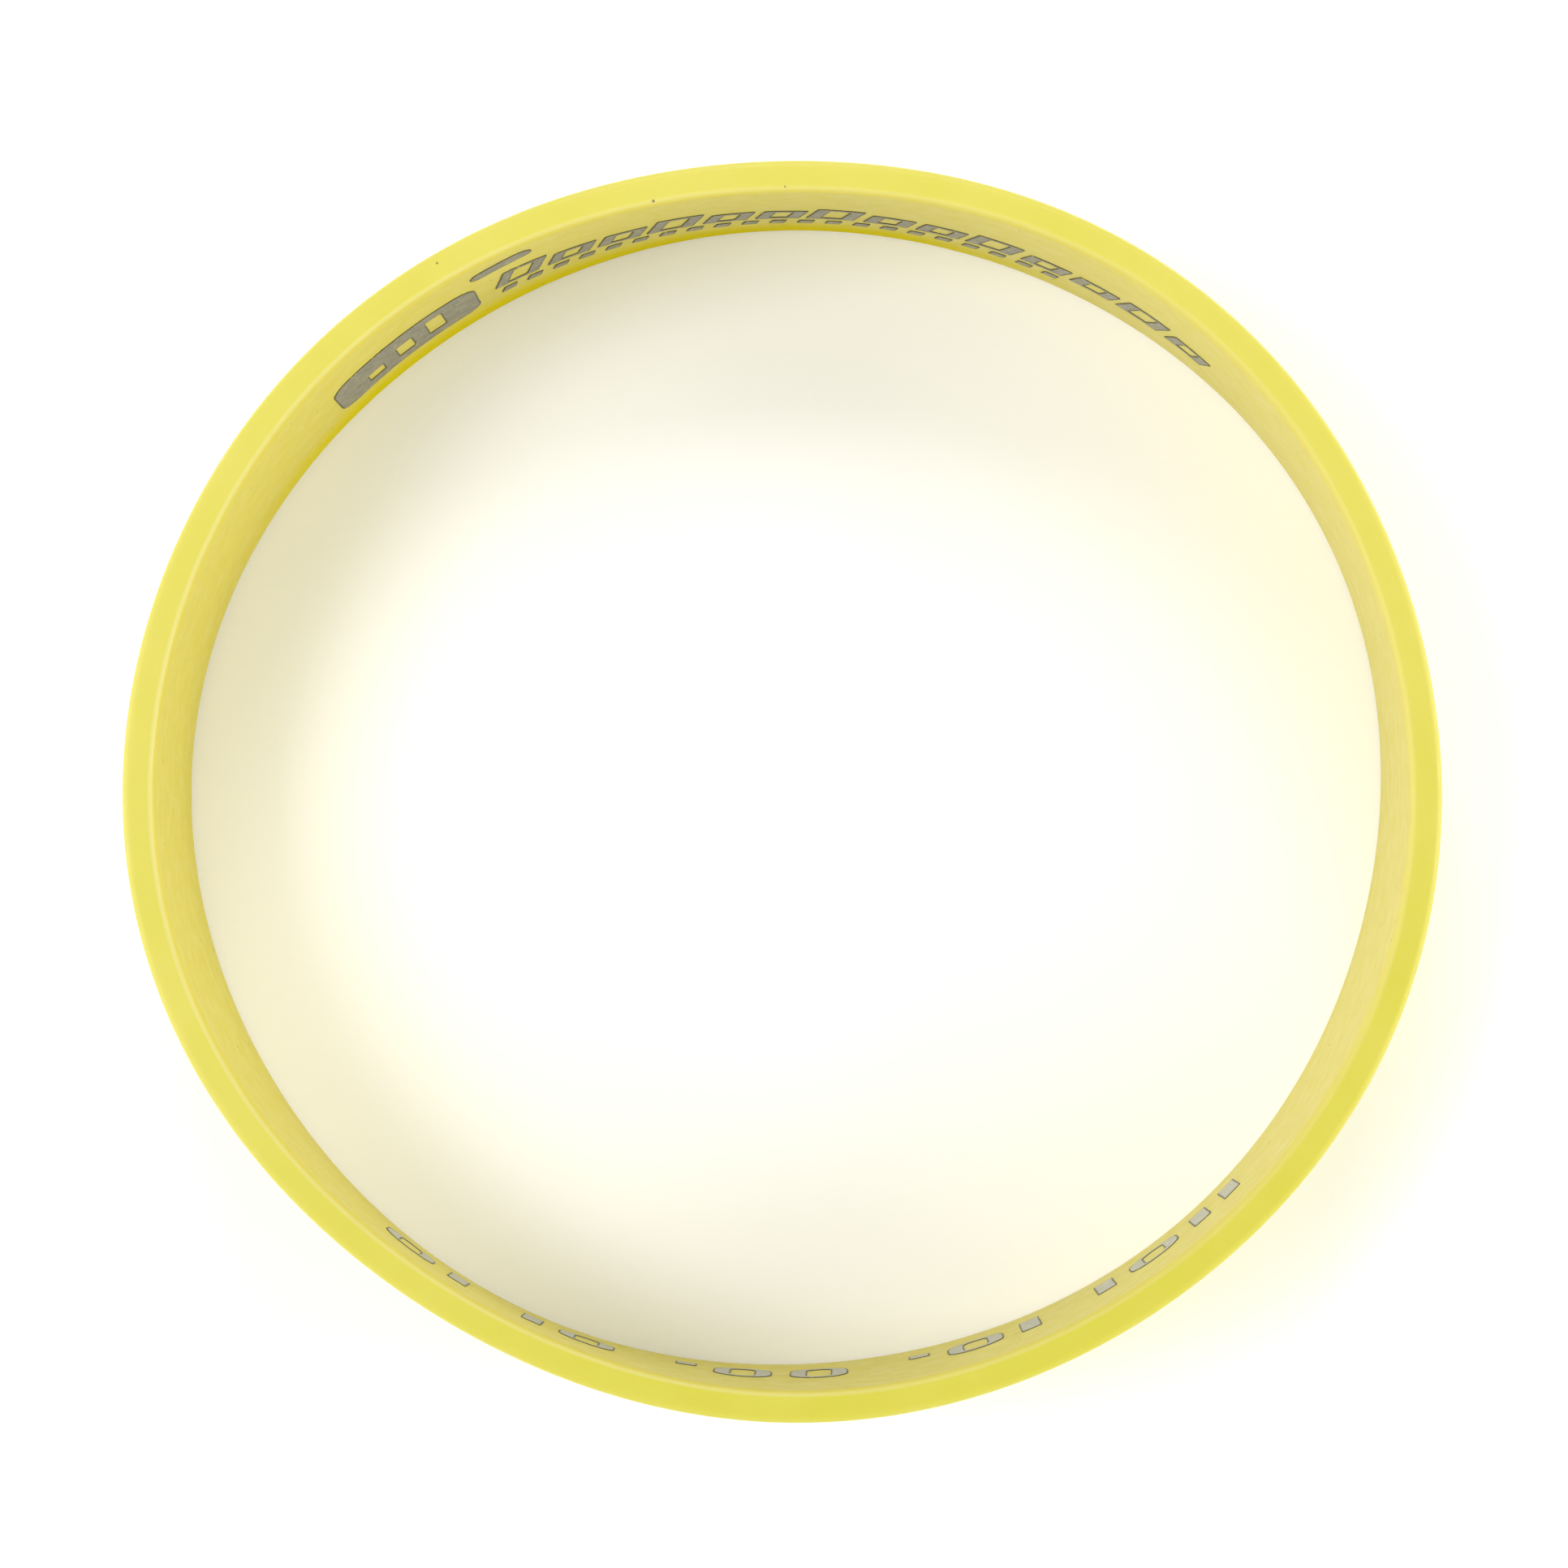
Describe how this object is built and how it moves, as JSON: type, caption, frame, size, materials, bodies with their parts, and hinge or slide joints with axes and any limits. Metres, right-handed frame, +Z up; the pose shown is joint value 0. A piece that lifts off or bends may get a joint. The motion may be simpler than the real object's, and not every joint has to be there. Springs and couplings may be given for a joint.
{
  "type": "silicone bottle band",
  "caption": "Slim stretch-on elastomer band that marks a squeeze bottle or cup: a low hoop with rounded rims and grey ink printed on its inner wall.",
  "frame": {"origin": "middle of the bottom rim's outline, on the surface that the band stands on", "axes": "+Z up along the band's axis, +X along the long axis of its slight oval, +Y away from the viewer towards the side with the emblem and title; the prints are read from inside the ring"},
  "size_m": [0.0732, 0.0702, 0.016],
  "materials": {
    "silicone": "satin, lemon-yellow moulded silicone, opaque, slightly translucent at thin edges",
    "ink": "matt grey pad-printed ink, slightly uneven"
  },
  "bodies": {
    "root": {"band": "silicone", "emblem_print": "ink", "accent_print": "ink", "title_print": "ink", "caption_print": "ink", "size_print_1": "ink", "size_print_2": "ink", "size_print_3": "ink", "size_print_4": "ink", "size_print_5": "ink"}
  },
  "joints": []
}
